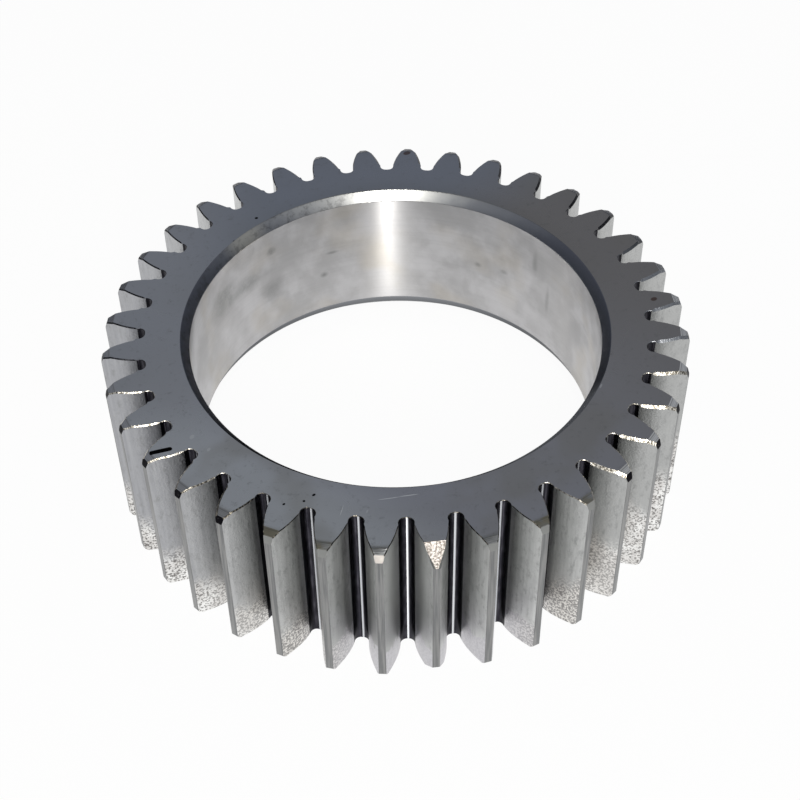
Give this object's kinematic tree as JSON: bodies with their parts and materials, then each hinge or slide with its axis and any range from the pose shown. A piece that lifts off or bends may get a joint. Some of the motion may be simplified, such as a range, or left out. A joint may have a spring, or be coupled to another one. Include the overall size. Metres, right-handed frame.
{
  "type": "flywheel ring gear",
  "caption": "Wide steel spur gear ring with a plain bore, chamfered bore ends, faceted tooth tips, one bevelled timing tooth and a stamped timing line.",
  "frame": {"origin": "on the bore axis, in the plane of the lower tooth ends", "axes": "+Z along the bore axis out of the face with the stamped line; the bevelled timing tooth points along -Y"},
  "size_m": [0.1546, 0.1546, 0.0488],
  "materials": {
    "gear_steel": "turned end faces, ground bore and tooth flanks, lightly oiled"
  },
  "bodies": {
    "root": {"ring_gear": "gear_steel"}
  },
  "joints": []
}
